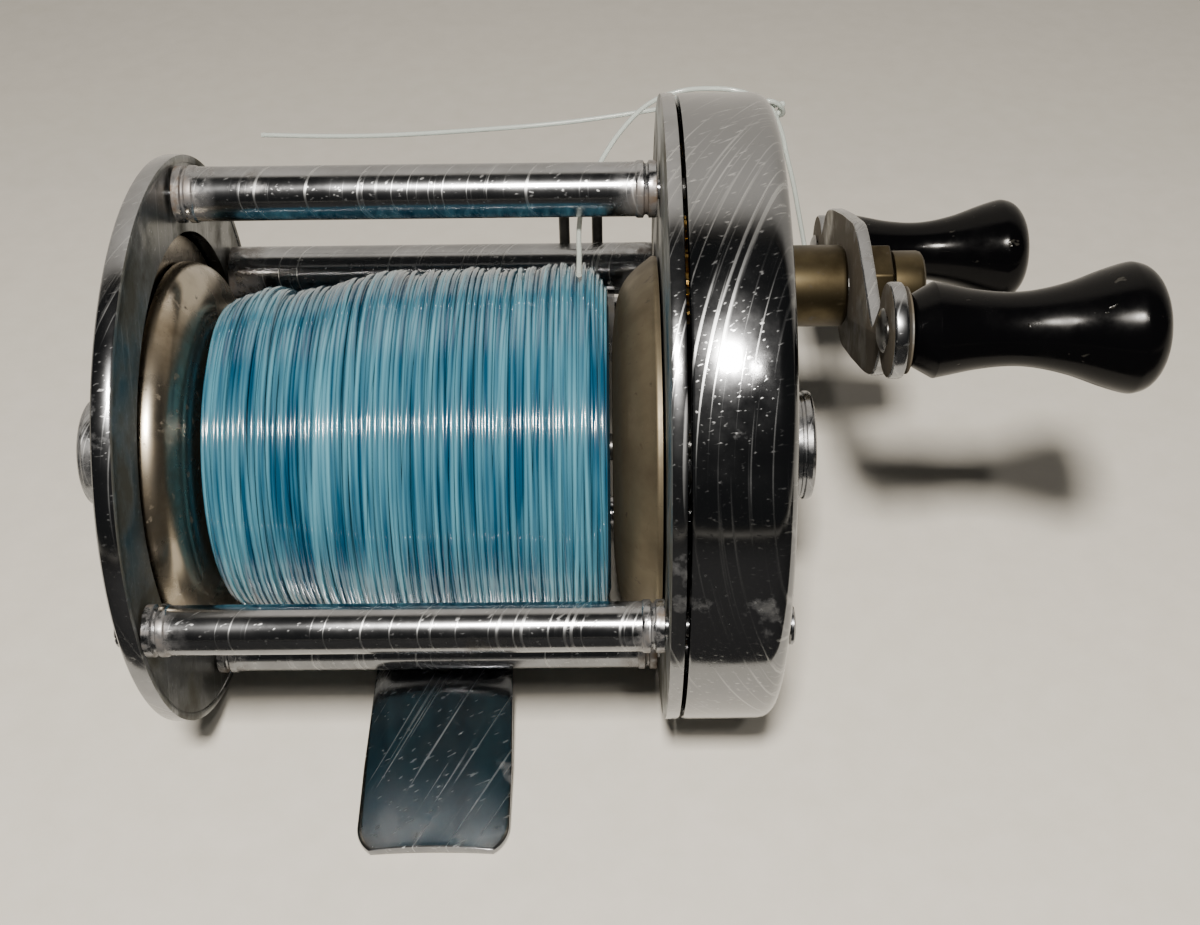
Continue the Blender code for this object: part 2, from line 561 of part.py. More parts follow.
LINE_MAIN = [(17.0, 2.5, 51.1), (17.0, 6.5, 51.0), (16.9, 10.5, 50.8), (17.1, 14.5, 51.2),
             (17.9, 17.8, 52.3), (19.4, 20.9, 54.0), (21.6, 24.2, 55.8), (24.6, 27.4, 57.3),
             (28.2, 28.6, 58.3), (32.0, 28.2, 58.8), (35.4, 27.6, 58.6), (38.4, 27.3, 57.0),
             (39.8, 26.8, 54.3), (40.6, 26.0, 51.4), (41.5, 25.3, 48.2), (42.4, 24.7, 44.2),
             (43.2, 24.0, 40.6), (43.7, 22.9, 38.0), (44.0, 21.7, 36.3)]
LINE_TAG = [(37.0, 29.0, 57.2), (33.4, 30.3, 56.7), (29.6, 30.9, 55.7), (25.0, 31.2, 54.6),
            (16.0, 31.0, 53.4), (7.6, 30.9, 52.7), (-4.2, 31.3, 51.8), (-12.5, 31.7, 51.5),
            (-20.7, 32.2, 51.5)]


def make_loose_line():
    """The line's end, over the housing and down behind the crank, and the tag of its knot."""
    tube("line_end", smooth_route(LINE_MAIN, 1.9), LINE_RADIUS, PALE_LINE)
    tube("line_tag", smooth_route(LINE_TAG, 2.4), LINE_RADIUS, PALE_LINE)


for old in list(bpy.data.objects):
    bpy.data.objects.remove(old, do_unlink=True)

make_tail_side()
make_head_side()
make_pillars()
make_pillar_screws()
make_foot()
make_spool()
make_click()
make_crank()
make_knobs()
make_level_wind()
make_carriage()
make_loose_line()
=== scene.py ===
import math
import random

import bpy
from mathutils import Matrix, Vector


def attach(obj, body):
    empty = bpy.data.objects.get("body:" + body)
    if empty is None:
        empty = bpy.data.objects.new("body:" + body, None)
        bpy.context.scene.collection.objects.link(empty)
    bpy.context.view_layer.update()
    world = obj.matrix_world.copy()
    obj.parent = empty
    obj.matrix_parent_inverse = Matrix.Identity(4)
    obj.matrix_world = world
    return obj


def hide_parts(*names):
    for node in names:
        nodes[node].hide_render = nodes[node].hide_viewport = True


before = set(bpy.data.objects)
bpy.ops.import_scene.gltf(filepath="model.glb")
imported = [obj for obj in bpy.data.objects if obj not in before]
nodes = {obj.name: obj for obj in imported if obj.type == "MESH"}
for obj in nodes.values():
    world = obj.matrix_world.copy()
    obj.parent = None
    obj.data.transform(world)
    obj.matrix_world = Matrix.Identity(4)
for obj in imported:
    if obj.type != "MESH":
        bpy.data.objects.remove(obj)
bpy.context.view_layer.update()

MM = 0.001
random.seed(7)


# The camera. It stands close, above the table and on the angler's side of the reel, so the
# near side of the reel and the near knob look large.
camera_data = bpy.data.cameras.new("view")
camera_data.sensor_fit = "HORIZONTAL"
camera_data.sensor_width = 36.0
camera_data.lens = 45.8
camera_data.clip_start = 0.01
camera_data.dof.use_dof = False
camera = bpy.data.objects.new("view", camera_data)
bpy.context.scene.collection.objects.link(camera)
looking = Vector((-0.00799, 0.75762, -0.65265))
sideways = looking.cross(Vector((0.01017, 0.65270, 0.75755))).normalized()
upward = sideways.cross(looking)
camera.matrix_world = Matrix((
    (sideways.x, upward.x, -looking.x, 0.02024),
    (sideways.y, upward.y, -looking.y, -0.12941),
    (sideways.z, upward.z, -looking.z, 0.13920),
    (0.0, 0.0, 0.0, 1.0)))
bpy.context.scene.camera = camera


# Shared by every finish: colours are given as screen values, and a finish is built from a
# few shader nodes at a time.
def linear(code):
    """Linear colour of an sRGB hex value such as c8c4bb."""
    parts = [int(code[i:i + 2], 16) / 255 for i in (0, 2, 4)]
    return (*[p / 12.92 if p <= 0.04045 else ((p + 0.055) / 1.055) ** 2.4 for p in parts], 1.0)


def add(tree, kind, inputs, **settings):
    """Add a shader node; inputs maps a socket to a constant or to another node's output."""
    made = tree.nodes.new(kind)
    for name, value in settings.items():
        setattr(made, name, value)
    for socket, value in inputs.items():
        if isinstance(value, bpy.types.NodeSocket):
            tree.links.new(value, made.inputs[socket])
        else:
            made.inputs[socket].default_value = value
    return made


def finish(name, **constants):
    """A new material with its Principled shader, whose constant inputs are set by name."""
    made = bpy.data.materials.new(name)
    made.use_nodes = True
    shader = made.node_tree.nodes["Principled BSDF"]
    for socket, value in constants.items():
        shader.inputs[socket.replace("_", " ")].default_value = value
    return made, made.node_tree, shader


def band(tree, value, low, high, to_low=0.0, to_high=1.0):
    """Map a value's range to another one, clamped."""
    made = add(tree, "ShaderNodeMapRange", {0: value, 1: low, 2: high, 3: to_low, 4: to_high})
    return made.outputs[0]


def speckle(tree, scale, detail=4.0, stretch=(1.0, 1.0, 1.0), turn=(0.0, 0.0, 0.0)):
    """Noise in the piece's own space, scale in blotches per metre, as a value."""
    place = add(tree, "ShaderNodeTexCoord", {}).outputs["Object"]
    turned_place = add(tree, "ShaderNodeMapping", {"Vector": place, "Rotation": turn})
    placed = add(tree, "ShaderNodeMapping", {"Vector": turned_place.outputs[0], "Scale": stretch})
    noise = add(tree, "ShaderNodeTexNoise", {"Vector": placed.outputs[0], "Scale": scale,
                                             "Detail": detail, "Roughness": 0.6})
    return noise.outputs[0]


def blend(tree, amount, first, second):
    """Mix two colours by an amount."""
    mix = add(tree, "ShaderNodeMix", {0: amount, 6: first, 7: second}, data_type="RGBA")
    return mix.outputs[2]


# The loose end of the line. It is clear nylon monofilament, 0.56 mm thick, that leaves the
# spool near the crank side, rises over the gear housing to a knot and hangs behind the crank.
# The knot's tag runs back over the reel and ends in the air.
def smooth_route(points, per_span=6):
    """Points of a smooth curve through others, all in millimetres."""
    knots = [Vector(p) for p in points]
    knots = [2 * knots[0] - knots[1]] + knots + [2 * knots[-1] - knots[-2]]
    route = []
    for a, b, c, d in zip(knots, knots[1:], knots[2:], knots[3:]):
        for i in range(per_span):
            t = i / per_span
            route.append(0.5 * (2 * b + (c - a) * t + (2 * a - 5 * b + 4 * c - d) * t * t
                                + (3 * b - a - 3 * c + d) * t ** 3))
    return route + [knots[-2]]


def wire(name, points, radius, sides=4, closed=False):
    """A round wire along points in millimetres, as a curve."""
    data = bpy.data.curves.new(name, "CURVE")
    data.dimensions = "3D"
    data.bevel_depth = radius * MM
    data.bevel_resolution = sides
    data.use_fill_caps = not closed
    spline = data.splines.new("POLY")
    spline.points.add(len(points) - 1)
    for point, place in zip(spline.points, points):
        point.co = (*(Vector(place) * MM), 1.0)
    spline.use_cyclic_u = closed
    piece = bpy.data.objects.new(name, data)
    bpy.context.scene.collection.objects.link(piece)
    return piece


def put_on(piece, material, body, slot, *replaced):
    """Give a piece its finish, the body it rides on and the nodes it stands for; slot is not used.
    """
    piece.data.materials.clear()
    piece.data.materials.append(material)
    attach(piece, body)
    if replaced:
        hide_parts(*replaced)


# clear_nylon gives the eye a pale, glassy thread with a faint green edge.
clear_nylon, tree, shader = finish("clear_nylon", Base_Color=linear("c9d2cd"), Roughness=0.16,
                                   Transmission_Weight=0.45, IOR=1.50)

line_end = wire("loose_line", smooth_route([
    (17.0, 2.5, 51.1), (17.0, 6.5, 51.0), (16.9, 10.5, 50.8), (17.1, 14.5, 51.2),
    (17.9, 17.8, 52.3), (19.4, 20.9, 54.0), (21.6, 24.2, 55.8), (24.6, 27.4, 57.3),
    (28.2, 28.6, 58.3), (32.0, 28.2, 58.8), (35.4, 27.6, 58.6), (38.4, 27.3, 57.0),
    (39.8, 26.8, 54.3), (40.6, 26.0, 51.4), (41.5, 25.3, 48.2), (42.4, 24.7, 44.2),
    (43.2, 24.0, 40.6), (43.7, 22.9, 38.0), (44.0, 21.7, 36.3)]), 0.28)
put_on(line_end, clear_nylon, "root", "clear_line", "line_end")

line_tag = wire("knot_tag_line", smooth_route([
    (37.0, 29.0, 57.2), (33.4, 30.3, 56.7), (29.6, 30.9, 55.7), (25.0, 31.2, 54.6),
    (16.0, 31.0, 53.4), (7.6, 30.9, 52.7), (-4.2, 31.3, 51.8), (-12.5, 31.7, 51.5),
    (-20.7, 32.2, 51.5)]), 0.28)
put_on(line_tag, clear_nylon, "root", "clear_line", "line_tag")

coil = []
for step in range(61):
    turn = math.tau * step / 60
    coil.append((39.0 + 0.35 * math.sin(3 * turn) + 0.9 * math.cos(2 * turn),
                 27.6 + 0.7 * math.sin(2 * turn + 0.6),
                 56.1 + 1.35 * math.sin(turn) + 0.55 * math.cos(3 * turn)))
knot = wire("line_knot", coil[:-1], 0.28, closed=True)
put_on(knot, clear_nylon, "root", "clear_line")


# The tail plate is a chromed brass disc with a low dome pressed into it for the click gear and
# a thin raised bead around its inner edge. It is polished outside. Years of grease and dust
# have dulled its inner face to grey, with brown specks by the rim.
tail_axis = (1.0, 31.0)
spool_axis = (0.0, 30.0)


def section(name, outline, axis, steps=120, smooth=30.0):
    """A piece turned about X: outline is (x, r) in mm, and axis its (y, z)."""
    bpy.ops.object.select_all(action="DESELECT")
    bpy.ops.mesh.primitive_plane_add(size=0.001)
    piece = bpy.context.object
    piece.name = name
    bpy.ops.object.mode_set(mode="EDIT")
    bpy.ops.mesh.select_all(action="SELECT")
    bpy.ops.mesh.merge(type="CENTER")
    x, r = outline[0]
    bpy.ops.transform.translate(value=(x * MM, axis[0] * MM, (axis[1] + r) * MM))
    for next_x, next_r in outline[1:]:
        step = ((next_x - x) * MM, 0.0, (next_r - r) * MM)
        bpy.ops.mesh.extrude_region_move(TRANSFORM_OT_translate={"value": step})
        x, r = next_x, next_r
    bpy.ops.mesh.select_all(action="SELECT")
    bpy.ops.mesh.spin(steps=steps, angle=math.tau, axis=(1, 0, 0),
                      center=(0.0, axis[0] * MM, axis[1] * MM))
    bpy.ops.mesh.select_all(action="SELECT")
    bpy.ops.mesh.remove_doubles(threshold=0.000003)
    bpy.ops.mesh.normals_make_consistent(inside=False)
    bpy.ops.object.mode_set(mode="OBJECT")
    bpy.ops.object.shade_smooth_by_angle(angle=math.radians(smooth))
    return piece


def cut(piece, cutter, operation="DIFFERENCE"):
    """Apply a Boolean with a cutter, then remove the cutter."""
    bpy.ops.object.select_all(action="DESELECT")
    piece.select_set(True)
    bpy.context.view_layer.objects.active = piece
    modifier = piece.modifiers.new("cut", "BOOLEAN")
    modifier.operation = operation
    modifier.solver = "EXACT"
    modifier.object = cutter
    bpy.ops.object.modifier_apply(modifier="cut")
    bpy.data.objects.remove(cutter, do_unlink=True)
    bpy.ops.object.shade_smooth_by_angle(angle=math.radians(30))


def bore(piece, axis, radius, low, high):
    """Drill a round hole along X between two planes, in millimetres."""
    bpy.ops.mesh.primitive_cylinder_add(vertices=64, radius=radius * MM, depth=(high - low) * MM,
                                        location=((low + high) / 2 * MM, axis[0] * MM,
                                                  axis[1] * MM), rotation=(0, math.pi / 2, 0))
    cut(piece, bpy.context.object)


def chrome(name, shine, grime, stain="4a4439", tint="94969a"):
    """Worn chrome: hairline scratches both ways, soft wear and patches of grime."""
    made, tree, shader = finish(name, Metallic=1.0)
    across = band(tree, speckle(tree, 3000, 1.0, (1.0, 0.012, 0.012), (0.0, 0.3, 0.5)), 0.60, 0.72)
    along = band(tree, speckle(tree, 2600, 1.0, (0.015, 1.0, 1.0), (0.5, 0.1, -0.6)), 0.64, 0.76)
    scratches = add(tree, "ShaderNodeMath", {0: across, 1: along}, operation="MAXIMUM").outputs[0]
    wear = band(tree, speckle(tree, 170, 6.0), 0.35, 0.70)
    dirt = band(tree, speckle(tree, 110, 8.0), 0.66 - grime, 0.84 - grime)
    colour = blend(tree, wear, linear(tint), linear("7f8184"))
    colour = blend(tree, scratches, colour, linear("a9abad"))
    colour = blend(tree, dirt, colour, linear(stain))
    tree.links.new(colour, shader.inputs["Base Color"])
    rough = band(tree, wear, 0.0, 1.0, shine, shine + 0.10)
    rough = add(tree, "ShaderNodeMath", {0: scratches, 1: 0.16, 2: rough},
                operation="MULTIPLY_ADD").outputs[0]
    rough = add(tree, "ShaderNodeMath", {0: dirt, 1: 0.40, 2: rough},
                operation="MULTIPLY_ADD").outputs[0]
    tree.links.new(rough, shader.inputs["Roughness"])
    tree.links.new(band(tree, dirt, 0.0, 1.0, 1.0, 0.25), shader.inputs["Metallic"])
    bump = add(tree, "ShaderNodeBump", {"Strength": 0.05, "Distance": 0.0001,
                                        "Height": scratches})
    tree.links.new(bump.outputs[0], shader.inputs["Normal"])
    return made


# plate_chrome gives bright, scratched plating; greasy_chrome the dull inner faces.
plate_chrome = chrome("plate_chrome", 0.10, 0.06)
greasy_chrome = chrome("greasy_chrome", 0.30, 0.22, "47453b", "6a6d6b")


def paint_faces(piece, material, test):
    """Give the faces whose centre and normal pass a test their own finish."""
    piece.data.materials.append(material)
    number = len(piece.data.materials) - 1
    for face in piece.data.polygons:
        if test(face.center, face.normal):
            face.material_index = number


tail_plate = section("tail_side_plate", [
    (-31.0, 0.0), (-31.0, 18.6), (-30.85, 19.5), (-30.3, 20.7), (-29.2, 22.4), (-28.5, 23.3),
    (-27.9, 23.8), (-27.4, 23.95), (-27.4, 30.4), (-27.32, 30.75), (-27.15, 30.93),
    (-26.9, 31.0), (-25.6, 31.0), (-25.42, 30.93), (-25.35, 30.75), (-25.35, 30.35),
    (-25.4, 30.16), (-25.5, 30.1), (-25.5, 22.8), (-27.7, 22.8), (-29.3, 20.2), (-30.0, 18.5),
    (-30.0, 0.0)], tail_axis, steps=180)
bore(tail_plate, spool_axis, 6.2, -32.0, -29.0)
bore(tail_plate, (-12.2, 30.0), 2.4, -32.0, -29.2)
put_on(tail_plate, plate_chrome, "root", "chrome", "tail_plate")
paint_faces(tail_plate, greasy_chrome, lambda c, n: n.x > 0.7 and c.x > -25.9 * MM)


# A nickelled disc closes the dome from inside, and the flanged hub on the outside carries the
# spindle's bearing. The knurled cap screws over the hub and sets the spindle's end play.
# worn_nickel gives a warm, tan-grey plating with soft blotches where it has dulled.
def nickel(name, light, dark, rough, metallic=1.0):
    """Tarnished nickel: a warm plate, darker blotches and fine brown specks."""
    made, tree, shader = finish(name)
    tarnish = band(tree, speckle(tree, 130, 6.0), 0.38, 0.68)
    specks = band(tree, speckle(tree, 900, 3.0), 0.64, 0.74)
    colour = blend(tree, tarnish, linear(light), linear(dark))
    colour = blend(tree, specks, colour, linear("2f281d"))
    tree.links.new(colour, shader.inputs["Base Color"])
    spread = add(tree, "ShaderNodeMath", {0: tarnish, 1: 0.16, 2: rough},
                 operation="MULTIPLY_ADD").outputs[0]
    tree.links.new(spread, shader.inputs["Roughness"])
    tree.links.new(band(tree, specks, 0.0, 1.0, metallic, 0.3), shader.inputs["Metallic"])
    return made


worn_nickel = nickel("worn_nickel", "958c7d", "675d4f", 0.24)
disc = section("tail_dome_disc", [(-27.6, 3.2), (-27.6, 22.35), (-27.45, 22.5), (-27.05, 22.5),
                                  (-26.9, 22.35), (-26.9, 3.2), (-27.6, 3.2)], tail_axis)
put_on(disc, worn_nickel, "root", "dull_nickel", "tail_inner_disc")
tail_hub = section("tail_bearing_hub", [
    (-35.8, 2.6), (-35.8, 3.8), (-35.6, 4.0), (-33.7, 4.0), (-33.7, 6.5), (-33.5, 7.0),
    (-33.1, 7.4), (-31.5, 7.6), (-31.3, 7.5), (-31.3, 5.9), (-29.95, 5.9), (-29.95, 2.6),
    (-35.8, 2.6)], spool_axis)
put_on(tail_hub, worn_nickel, "root", "nickel", "tail_hub")


def knurl(piece, axis, low, high, ridges, depth):
    """Press straight grooves into a cap's rim: every other column of the band moves inwards."""
    bpy.ops.object.select_all(action="DESELECT")
    piece.select_set(True)
    bpy.context.view_layer.objects.active = piece
    centre = Vector((0.0, axis[0] * MM, axis[1] * MM))
    for vertex in piece.data.vertices:
        spoke = vertex.co - centre
        angle = math.atan2(spoke.z, spoke.y) / math.tau * ridges * 2
        vertex.select = low * MM < vertex.co.x < high * MM and round(angle) % 2 == 0
    bpy.ops.object.mode_set(mode="EDIT")
    bpy.ops.mesh.select_mode(type="VERT")
    bpy.ops.transform.resize(value=(1.0, 1.0 - depth, 1.0 - depth), center_override=centre)
    bpy.ops.object.mode_set(mode="OBJECT")


tail_cap = section("tail_bearing_cap", [
    (-36.6, 0.0), (-36.6, 4.3), (-34.0, 4.3), (-34.0, 6.0), (-34.15, 6.15), (-34.4, 6.2),
    (-34.55, 6.35), (-36.75, 6.35), (-36.9, 6.2), (-37.2, 6.1), (-37.4, 5.8), (-37.5, 5.4),
    (-37.5, 0.0)], spool_axis, steps=176, smooth=20.0)
knurl(tail_cap, spool_axis, -36.8, -34.5, 88, 0.045)
cap_chrome = chrome("cap_chrome", 0.16, 0.10)
put_on(tail_cap, cap_chrome, "tail_cap", "chrome", "tail_cap")


# The head side is a chromed plate with the deeper, drawn gear housing fastened against it; a
# fine dark joint runs around between them. The housing is the brightest piece, with an old
# grey stain on top and criss-cross scratches from handling.
head_axis = (2.0, 33.8)
crank_axis = (16.388, 40.003)
worm_axis = (25.409, 36.72)
head_plate = section("head_side_plate", [
    (25.5, 0.0), (25.5, 33.55), (25.6, 33.75), (25.8, 33.8), (26.75, 33.8), (26.93, 33.75),
    (27.0, 33.55), (27.0, 0.0)], head_axis, steps=180)
for axis, radius in ((spool_axis, 6.0), (crank_axis, 1.7), (worm_axis, 1.9)):
    bore(head_plate, axis, radius, 25.0, 28.0)
put_on(head_plate, plate_chrome, "root", "chrome", "head_plate")
paint_faces(head_plate, greasy_chrome, lambda c, n: n.x < -0.7)

housing = section("gear_side_housing", [
    (37.0, 0.0), (37.0, 31.8), (36.93, 32.4), (36.7, 32.95), (36.3, 33.4), (35.8, 33.68),
    (35.1, 33.8), (27.65, 33.8), (27.4, 33.7), (27.3, 33.45), (27.3, 32.7), (35.3, 32.7),
    (35.8, 32.2), (36.0, 31.6), (36.0, 0.0)], head_axis, steps=180)
bore(housing, spool_axis, 5.2, 35.0, 38.0)
bore(housing, crank_axis, 4.75, 35.0, 38.0)
housing_chrome = chrome("housing_chrome", 0.07, 0.02, "5f5e58", "808286")
put_on(housing, housing_chrome, "root", "chrome", "gear_housing")

head_hub = section("head_bearing_hub", [
    (34.3, 2.6), (34.3, 7.5), (35.7, 7.5), (35.7, 4.9), (37.3, 4.9), (37.5, 4.0), (40.2, 4.0),
    (40.4, 3.8), (40.4, 2.6), (34.3, 2.6)], spool_axis)
put_on(head_hub, worn_nickel, "root", "nickel", "head_hub")
head_cap = section("head_bearing_cap", [
    (41.1, 0.0), (41.1, 4.3), (37.6, 4.3), (37.6, 5.9), (37.75, 6.05), (38.0, 6.1),
    (38.15, 6.22), (40.7, 6.22), (40.85, 6.05), (41.1, 6.05), (41.25, 6.25), (41.8, 6.25),
    (42.05, 6.1), (42.2, 5.7), (42.2, 0.0)], spool_axis, steps=176, smooth=20.0)
knurl(head_cap, spool_axis, 38.1, 40.75, 88, 0.04)
put_on(head_cap, cap_chrome, "head_cap", "chrome", "head_cap")


# Four chromed pillars hold the plates apart. Each has a grooved collar at both ends, a slotted
# screw through each plate, and brown rust where the plating has lifted by the collars.
def rusty_chrome(name):
    """Pillar plating: bright in the middle, brown and pitted close to the two plates."""
    made = chrome(name, 0.13, 0.04, "54493a")
    tree = made.node_tree
    shader = tree.nodes["Principled BSDF"]
    place = add(tree, "ShaderNodeTexCoord", {}).outputs["Object"]
    x = add(tree, "ShaderNodeSeparateXYZ", {0: place}).outputs[0]
    ends = band(tree, add(tree, "ShaderNodeMath", {0: x}, operation="ABSOLUTE").outputs[0],
                0.0205, 0.0252)
    rust = add(tree, "ShaderNodeMath", {0: ends, 1: band(tree, speckle(tree, 420, 6.0), 0.40,
                                                          0.62)}, operation="MULTIPLY").outputs[0]
    colour = shader.inputs["Base Color"].links[0].from_socket
    tree.links.new(blend(tree, rust, colour, linear("4f4030")), shader.inputs["Base Color"])
    rough = shader.inputs["Roughness"].links[0].from_socket
    tree.links.new(add(tree, "ShaderNodeMath", {0: rust, 1: 0.45, 2: rough},
                       operation="MULTIPLY_ADD").outputs[0], shader.inputs["Roughness"])
    tree.links.new(band(tree, rust, 0.0, 1.0, 1.0, 0.2), shader.inputs["Metallic"])
    return made


pillar_chrome = rusty_chrome("pillar_chrome")
pillars = {"top_pillar": ((10.75, 56.3), 2.85, 3.0), "rear_pillar": ((-27.3, 30.2), 2.45, 2.6),
           "bottom_rear_pillar": ((-10.0, 8.0), 2.2, 2.35),
           "bottom_front_pillar": ((13.5, 7.4), 2.2, 2.35)}
for name, (axis, body, collar) in pillars.items():
    half = [(25.2, 1.5), (25.2, collar - 0.1), (25.1, collar), (24.35, collar),
            (24.2, collar - 0.3), (24.05, collar - 0.35), (23.9, collar - 0.3),
            (23.75, collar), (23.2, collar), (23.05, collar - 0.05), (22.95, body)]
    half = [(20.4, 0.0), (20.4, 1.5)] + half
    pillar = section(name + "_turned", [(-x, r) for x, r in half] + half[::-1], axis, steps=72)
    put_on(pillar, pillar_chrome, "root", "chrome", name)

# screw_chrome gives small heads with dark, worn slots.
screw_chrome = chrome("screw_chrome", 0.18, 0.16)
for name, (axis, body, collar) in pillars.items():
    face = 38.5 if name == "top_pillar" else 37.75
    for side, start, wide, top in (("head", 37.3, 1.95, face), ("tail", -27.7, 1.6, -28.15)):
        up = 1.0 if top > start else -1.0
        screw = section(f"{name}_{side}_slotted_screw", [
            (21.0 * up, 0.0), (21.0 * up, 1.1), (start, 1.1), (start, wide),
            (top - 0.2 * up, wide), (top - 0.05 * up, wide - 0.2), (top, wide - 0.4),
            (top, 0.0)], axis, steps=40)
        bpy.ops.mesh.primitive_cube_add(size=0.001, location=(top * MM, axis[0] * MM,
                                                              axis[1] * MM))
        bpy.ops.transform.resize(value=(0.5, 2.4 * wide, 0.5))
        bpy.ops.transform.rotate(value=random.uniform(0.0, 3.0), orient_axis="X")
        cut(screw, bpy.context.object)
        put_on(screw, screw_chrome, "root", "chrome", f"{name}_{side}_screw")


# The foot is one stamping of brass, arched across its width so that it sits on a rod, with
# wings that come down to the table from the two low pillars. It is worn smooth and mirror-like,
# with a thin bright lip and dark tarnish along its two sides.
bpy.ops.object.select_all(action="DESELECT")
bpy.ops.mesh.primitive_grid_add(x_subdivisions=24, y_subdivisions=132, size=2.0)
foot = bpy.context.object
foot.name = "stamped_foot"
foot_reach = 32.4
seat_reach = 9.0
seat_height = 3.6
corner_radius = 3.6
for vertex in foot.data.vertices:
    across, along = vertex.co.x, vertex.co.y
    y = foot_reach * math.copysign(1.0 - (1.0 - abs(along)) ** 1.15, along)
    reach = min(1.0, max(0.0, (abs(y) - seat_reach) / 23.0))
    corner = max(0.0, abs(y) - 29.4)
    rounded = math.sqrt(max(0.0, corner_radius ** 2 - corner ** 2))
    wide = 3.9 + 0.7 * min(1.0, abs(y) / 22.0) + rounded
    crown = 0.8 - 0.35 * reach
    rise = seat_height * (1.0 - reach) ** 1.35 + crown * (1.0 - across ** 2)
    vertex.co = Vector((0.4 + wide * across, y, rise)) * MM
foot.modifiers.new("thick", "SOLIDIFY").thickness = 1.1 * MM
foot.modifiers["thick"].offset = 1.0
rounding = foot.modifiers.new("rounding", "BEVEL")
rounding.width = 0.22 * MM
rounding.segments = 2
rounding.angle_limit = math.radians(50)
for modifier in ("thick", "rounding"):
    bpy.ops.object.modifier_apply(modifier=modifier)
bpy.ops.object.mode_set(mode="EDIT")
bpy.ops.mesh.select_all(action="SELECT")
bpy.ops.mesh.remove_doubles(threshold=0.000002)
bpy.ops.mesh.normals_make_consistent(inside=False)
bpy.ops.object.mode_set(mode="OBJECT")
bpy.ops.object.shade_smooth_by_angle(angle=math.radians(35))
for y in (-10.0, 13.5):
    bpy.ops.mesh.primitive_cylinder_add(vertices=32, radius=1.1 * MM, depth=8 * MM,
                                        location=(0.4 * MM, y * MM, 4 * MM))
    cut(foot, bpy.context.object)
foot_chrome = chrome("foot_chrome", 0.13, 0.03, "2c2b27")
put_on(foot, foot_chrome, "root", "chrome", "foot")


# The spool is a nickelled arbor between two flared, dished flanges on a steel spindle. The
# flanges are the warmest metal on the reel: tan and sandy where dust has settled, with a
# polished ring inside the rim of the left one.
flange_nickel = nickel("flange_nickel", "b0a797", "766b5a", 0.22)
sandy_nickel = nickel("sandy_nickel", "716855", "4d4537", 0.42, 0.8)


def flare(front, back):
    """A flange's smoothed section, closed, from the (x, r) of its two faces."""
    closed = []
    for face in (front, back):
        closed += [(p.x, p.z) for p in smooth_route([(x, 0.0, r) for x, r in face], 4)]
    return closed + [front[0]]


left_flange = section("left_flange", flare(
    [(-26.4, 20.9), (-25.8, 20.9), (-25.0, 20.78), (-24.2, 20.4), (-23.5, 19.7),
     (-22.9, 18.5), (-22.4, 16.6), (-22.0, 12.5), (-21.9, 7.9), (-21.9, 1.75)],
    [(-22.8, 1.75), (-22.8, 7.9), (-22.95, 12.0), (-23.3, 16.2), (-24.0, 18.5), (-24.9, 20.0),
     (-26.4, 20.7)]), spool_axis, steps=160)
put_on(left_flange, flange_nickel, "spool", "nickel", "flange_left")
right_flange = section("right_flange", flare(
    [(25.2, 20.9), (24.7, 20.9), (24.3, 20.6), (23.0, 19.6), (21.7, 18.1), (20.9, 16.0),
     (20.4, 12.0), (20.3, 7.9), (20.3, 1.75)],
    [(21.0, 1.75), (21.0, 7.9), (21.15, 12.0), (21.5, 16.2), (22.3, 18.5), (23.5, 20.0),
     (25.2, 20.7)]), spool_axis, steps=160)
put_on(right_flange, sandy_nickel, "spool", "nickel", "flange_right")
arbor = section("spool_core", [(-21.5, 5.6), (-21.5, 7.0), (19.9, 7.0), (19.9, 5.6),
                               (-21.5, 5.6)], spool_axis, steps=64)
put_on(arbor, worn_nickel, "spool", "nickel", "spool_arbor")


# The spool is full of translucent blue nylon monofilament, 0.56 mm thick, wound by hand and by
# the line guide: mostly side by side, with looser turns that wander across the others. A core
# stands for the turns that can't be seen; the outer turns are real strands.
def crest(x):
    """Outer radius of the wound line along the spool, in millimetres."""
    rows = [(-21.6, 15.4), (-20.6, 17.0), (-16.5, 18.2), (-13.5, 17.7), (-9.0, 18.6),
            (-4.5, 19.8), (0.0, 19.7), (5.0, 20.0), (10.0, 19.8), (14.5, 20.4), (17.5, 20.3),
            (19.3, 19.0), (20.0, 16.5)]
    for (x0, r0), (x1, r1) in zip(rows, rows[1:]):
        if x <= x1:
            return r0 + (r1 - r0) * max(0.0, (x - x0) / (x1 - x0))
    return rows[-1][1]


# blue_nylon gives the line its blue dye, each strand a blue between deep and pale at random; this
# strand-to-strand tone is painted light, for the light each clear strand gathers like a lens.
blue_nylon, tree, shader = finish("blue_nylon", Roughness=0.17, IOR=1.55, Coat_Weight=0.6)
strand = speckle(tree, 1.0, 1.0, (1750.0, 42.0, 42.0))
depth = speckle(tree, 1.0, 2.0, (240.0, 60.0, 60.0))
# Painted light and shade: pale and deep strands stand for each clear strand acting as a lens.
lens_light_tone = add(tree, "ShaderNodeMath", {0: depth, 1: 0.5, 2: strand}, operation="MULTIPLY_ADD")
lens_light_tone = band(tree, lens_light_tone.outputs[0], 0.58, 1.0)
colour = blend(tree, lens_light_tone, linear("0c3e58"), linear("5590a3"))
tree.links.new(colour, shader.inputs["Base Color"])
shader.inputs["Transmission Weight"].default_value = 0.12

core_nylon, tree, shader = finish("core_nylon", Base_Color=linear("1b4f69"), Roughness=0.3)
steps = [-21.6 + 41.6 * i / 60 for i in range(61)]
core = section("line_core", [(-21.6, 7.3)] + [(x, crest(x) - 0.95) for x in steps]
               + [(20.0, 7.3), (-21.6, 7.3)], spool_axis, steps=96)
put_on(core, core_nylon, "spool", "blue_line", "line_pack")


